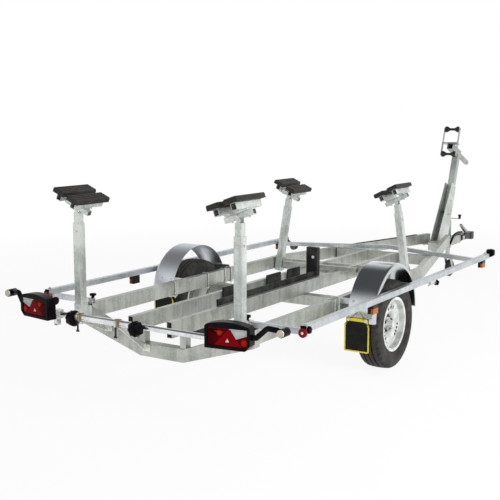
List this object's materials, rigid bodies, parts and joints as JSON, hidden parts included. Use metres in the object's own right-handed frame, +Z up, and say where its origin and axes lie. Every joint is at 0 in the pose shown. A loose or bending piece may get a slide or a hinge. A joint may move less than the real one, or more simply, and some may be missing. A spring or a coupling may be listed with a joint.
{
  "type": "boat trailer",
  "caption": "Single-axle boat trailer with keel channel, adjustable hull supports, bow post, light bar and jockey wheel.",
  "frame": {"origin": "on the ground, midway along the trailer and midway between its wheels", "axes": "+Y forward to the coupling, +Z up, +X to the trailer's right"},
  "size_m": [2.1158, 6.117, 1.6673],
  "materials": {
    "steel": "weathered galvanised zinc",
    "bright_steel": "fresh galvanised zinc",
    "rubber": "matt black",
    "tyre": "matt black",
    "rim": "grey paint",
    "black_plastic": "matt black",
    "red_lens": "clear red",
    "amber_lens": "clear amber",
    "pale_lens": "milky",
    "roller": "matt black",
    "wood": "weathered"
  },
  "bodies": {
    "chassis": {"chassis_rail_left": "steel", "chassis_rail_right": "steel", "keel_rails": "steel", "rear_beam": "steel", "cross_members": "steel", "axle_beam": "steel", "swing_arms": "steel", "mudguard_left": "bright_steel", "mudguard_right": "bright_steel", "guard_stays": "bright_steel", "mud_flaps": "rubber", "side_rails": "steel", "rear_outriggers": "steel", "swept_arm": "steel", "light_bar": "bright_steel", "light_bar_clamps": "steel", "light_bar_knobs": "black_plastic", "lamp_housings": "black_plastic", "lamp_lenses": "red_lens", "marker_bodies": "black_plastic", "marker_lenses": "pale_lens", "rear_reflectors": "red_lens", "side_reflectors": "amber_lens", "post_tubes": "steel", "post_sockets": "steel", "bow_post_lower": "steel", "overrun_housing": "steel", "overrun_bellows": "rubber", "coupling_head": "steel", "coupling_handle": "black_plastic", "handbrake_lever": "steel", "jockey_sleeve": "steel", "jockey_crank": "steel", "keel_plank": "wood", "keel_guides": "wood", "wiring_lead": "black_plastic"},
    "wheel_left": {"tyre_left": "tyre", "rim_left": "rim"},
    "wheel_right": {"tyre_right": "tyre", "rim_right": "rim"},
    "support_rear_left": {"support_tube_rear_left": "steel"},
    "head_rear_left": {"head_frame_rear_left": "steel", "head_pads_rear_left": "rubber"},
    "support_rear_right": {"support_tube_rear_right": "steel"},
    "head_rear_right": {"head_frame_rear_right": "steel", "head_pads_rear_right": "rubber"},
    "support_front_left": {"support_tube_front_left": "steel"},
    "head_front_left": {"head_frame_front_left": "steel", "head_pads_front_left": "rubber"},
    "support_front_right": {"support_tube_front_right": "steel"},
    "head_front_right": {"head_frame_front_right": "steel", "head_pads_front_right": "rubber"},
    "bow_post": {"bow_post_upper": "steel", "bow_roller_frame": "steel"},
    "bow_roller_low": {"bow_roller_low": "roller"},
    "bow_roller_high": {"bow_roller_high": "roller"},
    "jockey_leg": {"jockey_leg": "bright_steel"},
    "jockey_fork": {"jockey_fork": "steel"},
    "jockey_wheel": {"jockey_wheel": "rubber"}
  },
  "joints": [
    {"name": "wheel_left_spin", "type": "hinge", "parent": "chassis", "child": "wheel_left", "pos_m": [-0.838, -1.1935, 0.317], "axis": [1, 0, 0], "continuous": true},
    {"name": "wheel_right_spin", "type": "hinge", "parent": "chassis", "child": "wheel_right", "pos_m": [0.838, -1.1935, 0.317], "axis": [1, 0, 0], "continuous": true},
    {"name": "support_rear_left_slide", "type": "slide", "parent": "chassis", "child": "support_rear_left", "axis": [0, 0, 1], "range_m": [-0.055, 0.2]},
    {"name": "head_rear_left_tilt", "type": "hinge", "parent": "support_rear_left", "child": "head_rear_left", "pos_m": [-0.62, -2.7335, 1.198], "axis": [0, 1, 0], "range_deg": [-30, 8]},
    {"name": "support_rear_right_slide", "type": "slide", "parent": "chassis", "child": "support_rear_right", "axis": [0, 0, 1], "range_m": [-0.055, 0.2]},
    {"name": "head_rear_right_tilt", "type": "hinge", "parent": "support_rear_right", "child": "head_rear_right", "pos_m": [0.62, -2.7335, 1.21], "axis": [0, -1, 0], "range_deg": [-30, 8]},
    {"name": "support_front_left_slide", "type": "slide", "parent": "chassis", "child": "support_front_left", "axis": [0.1513, 0, 0.9885], "range_m": [-0.055, 0.2]},
    {"name": "head_front_left_tilt", "type": "hinge", "parent": "support_front_left", "child": "head_front_left", "pos_m": [-0.49995, -0.2485, 1.104], "axis": [0, 1, 0], "range_deg": [-30, 8]},
    {"name": "support_front_right_slide", "type": "slide", "parent": "chassis", "child": "support_front_right", "axis": [-0.1513, 0, 0.9885], "range_m": [-0.055, 0.2]},
    {"name": "head_front_right_tilt", "type": "hinge", "parent": "support_front_right", "child": "head_front_right", "pos_m": [0.49965, -0.2485, 1.106], "axis": [0, -1, 0], "range_deg": [-30, 8]},
    {"name": "bow_post_slide", "type": "slide", "parent": "chassis", "child": "bow_post", "axis": [0, 0.3502, 0.9367], "range_m": [-0.15, 0.18]},
    {"name": "bow_roller_low_spin", "type": "hinge", "parent": "bow_post", "child": "bow_roller_low", "pos_m": [0, 2.23875, 1.37775], "axis": [1, 0, 0], "continuous": true},
    {"name": "bow_roller_high_spin", "type": "hinge", "parent": "bow_post", "child": "bow_roller_high", "pos_m": [0, 2.3354, 1.63627], "axis": [1, 0, 0], "continuous": true},
    {"name": "jockey_leg_slide", "type": "slide", "parent": "chassis", "child": "jockey_leg", "axis": [0, 0, 1], "range_m": [-0.06, 0.09]},
    {"name": "jockey_castor", "type": "hinge", "parent": "jockey_leg", "child": "jockey_fork", "pos_m": [-0.087, 2.5465, 0.235], "axis": [0, 0, 1], "continuous": true},
    {"name": "jockey_wheel_spin", "type": "hinge", "parent": "jockey_fork", "child": "jockey_wheel", "pos_m": [-0.087, 2.6165, 0.095], "axis": [1, 0, 0], "continuous": true}
  ]
}
